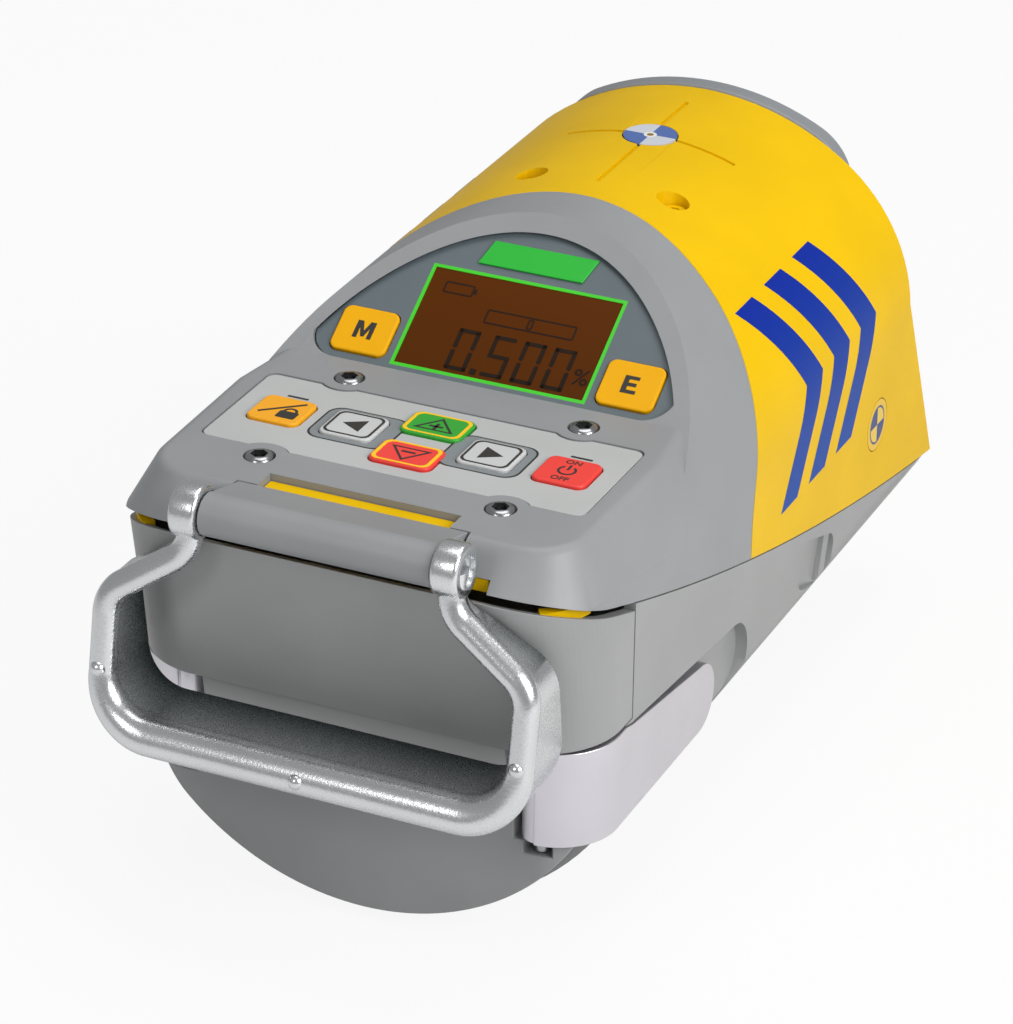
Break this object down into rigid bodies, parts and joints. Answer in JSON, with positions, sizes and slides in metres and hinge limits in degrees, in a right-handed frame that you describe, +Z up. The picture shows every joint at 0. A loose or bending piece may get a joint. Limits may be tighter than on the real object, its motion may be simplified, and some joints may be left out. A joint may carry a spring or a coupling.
{
  "type": "pipe laser",
  "caption": "Arched pipe alignment laser with sloped display, keypad, swinging carry handle, battery drawer with side latches and a gimballed laser behind a window.",
  "frame": {"origin": "ground plane under the foot pads, at the middle of the width and of the overall length", "axes": "+Z up, +Y from the handle end to the beam end, +X to the right as seen from the handle end"},
  "size_m": [0.1226, 0.2615, 0.1412],
  "materials": {
    "yellow_paint": "satin powder coat",
    "bezel_grey": "fine matte",
    "panel_grey": "fine matte",
    "frame_green": "satin print",
    "window_tint": "tinted gloss",
    "display_module": "matte",
    "badge_green": "satin print",
    "keypad_grey": "satin film",
    "key_yellow": "satin film",
    "key_white": "satin film",
    "key_green": "satin film",
    "key_red": "satin film",
    "screw_steel": "bright",
    "mark_white": "satin",
    "nose_grey": "satin",
    "clear_glass": "polished",
    "black_rubber": "matte",
    "lower_grey": "satin powder coat",
    "handle_metal": "bright plated casting",
    "pin_steel": "ground",
    "latch_silver": "satin anodised",
    "tray_black": "matte",
    "cell_case": "satin",
    "contact_brass": "bright",
    "inner_alloy": "milled",
    "motor_steel": "satin",
    "tube_black": "black anodised",
    "board_green": "solder mask"
  },
  "bodies": {
    "housing": {"upper_housing": "yellow_paint", "control_bezel": "bezel_grey", "display_panel": "panel_grey", "display_frame": "frame_green", "display_window": "window_tint", "lcd_module": "display_module", "badge_plate": "badge_green", "keypad_plate": "keypad_grey", "bezel_screws": "screw_steel", "target_disc": "mark_white", "side_marks": "mark_white", "crown_screws": "screw_steel", "nose_ring": "nose_grey", "window_glass": "clear_glass", "window_seal": "black_rubber", "lower_housing": "lower_grey", "front_panel": "lower_grey", "hinge_bar": "nose_grey", "hinge_pin": "pin_steel", "latch_pins": "pin_steel", "foot_pads": "black_rubber", "optics_frame": "inner_alloy", "line_motor": "motor_steel", "main_board": "board_green"},
    "handle": {"carry_handle": "handle_metal"},
    "drawer": {"battery_cap": "lower_grey", "battery_tray": "tray_black", "battery_cells": "cell_case", "battery_contacts": "contact_brass", "battery_seal": "black_rubber"},
    "left_lever": {"left_latch": "latch_silver"},
    "right_lever": {"right_latch": "latch_silver"},
    "yoke": {"gimbal_yoke": "inner_alloy", "grade_motor": "motor_steel"},
    "laser": {"laser_tube": "tube_black", "laser_lens": "clear_glass", "laser_board": "board_green"},
    "menu_key_cap": {"menu_key": "key_yellow"},
    "enter_key_cap": {"enter_key": "key_yellow"},
    "lock_key_cap": {"lock_key": "key_yellow"},
    "left_key_cap": {"left_key": "key_white"},
    "right_key_cap": {"right_key": "key_white"},
    "plus_key_cap": {"plus_key": "key_green"},
    "minus_key_cap": {"minus_key": "key_red"},
    "power_key_cap": {"power_key": "key_red"}
  },
  "joints": [
    {"name": "handle_hinge", "type": "hinge", "parent": "housing", "child": "handle", "pos_m": [0, -0.11473, 0.111], "axis": [-1, 0, 0], "range_deg": [0, 165]},
    {"name": "drawer_slide", "type": "slide", "parent": "housing", "child": "drawer", "axis": [0, -1, 0], "range_m": [0, 0.128]},
    {"name": "left_latch_hinge", "type": "hinge", "parent": "housing", "child": "left_lever", "pos_m": [-0.0466, -0.09383, 0.045], "axis": [0, 0, 1], "range_deg": [0, 70]},
    {"name": "right_latch_hinge", "type": "hinge", "parent": "housing", "child": "right_lever", "pos_m": [0.0466, -0.09383, 0.045], "axis": [0, 0, -1], "range_deg": [0, 70]},
    {"name": "line_swing", "type": "hinge", "parent": "housing", "child": "yoke", "pos_m": [0, 0.05577, 0.093], "axis": [0, 0, 1], "range_deg": [-5.7, 5.7]},
    {"name": "grade_tilt", "type": "hinge", "parent": "yoke", "child": "laser", "pos_m": [0, 0.05577, 0.093], "axis": [1, 0, 0], "range_deg": [-6, 16]},
    {"name": "menu_key_press", "type": "slide", "parent": "housing", "child": "menu_key_cap", "axis": [0, 0.5402, -0.8415], "range_m": [0, 0.0006], "stiffness_N_per_m": 800, "springref_m": -0.0006},
    {"name": "enter_key_press", "type": "slide", "parent": "housing", "child": "enter_key_cap", "axis": [0, 0.5402, -0.8415], "range_m": [0, 0.0006], "stiffness_N_per_m": 800, "springref_m": -0.0006},
    {"name": "lock_key_press", "type": "slide", "parent": "housing", "child": "lock_key_cap", "axis": [0, 0, -1], "range_m": [0, 0.0006], "stiffness_N_per_m": 800, "springref_m": -0.0006},
    {"name": "left_key_press", "type": "slide", "parent": "housing", "child": "left_key_cap", "axis": [0, 0, -1], "range_m": [0, 0.0006], "stiffness_N_per_m": 800, "springref_m": -0.0006},
    {"name": "right_key_press", "type": "slide", "parent": "housing", "child": "right_key_cap", "axis": [0, 0, -1], "range_m": [0, 0.0006], "stiffness_N_per_m": 800, "springref_m": -0.0006},
    {"name": "plus_key_press", "type": "slide", "parent": "housing", "child": "plus_key_cap", "axis": [0, 0, -1], "range_m": [0, 0.0006], "stiffness_N_per_m": 800, "springref_m": -0.0006},
    {"name": "minus_key_press", "type": "slide", "parent": "housing", "child": "minus_key_cap", "axis": [0, 0, -1], "range_m": [0, 0.0006], "stiffness_N_per_m": 800, "springref_m": -0.0006},
    {"name": "power_key_press", "type": "slide", "parent": "housing", "child": "power_key_cap", "axis": [0, 0, -1], "range_m": [0, 0.0006], "stiffness_N_per_m": 800, "springref_m": -0.0006}
  ]
}
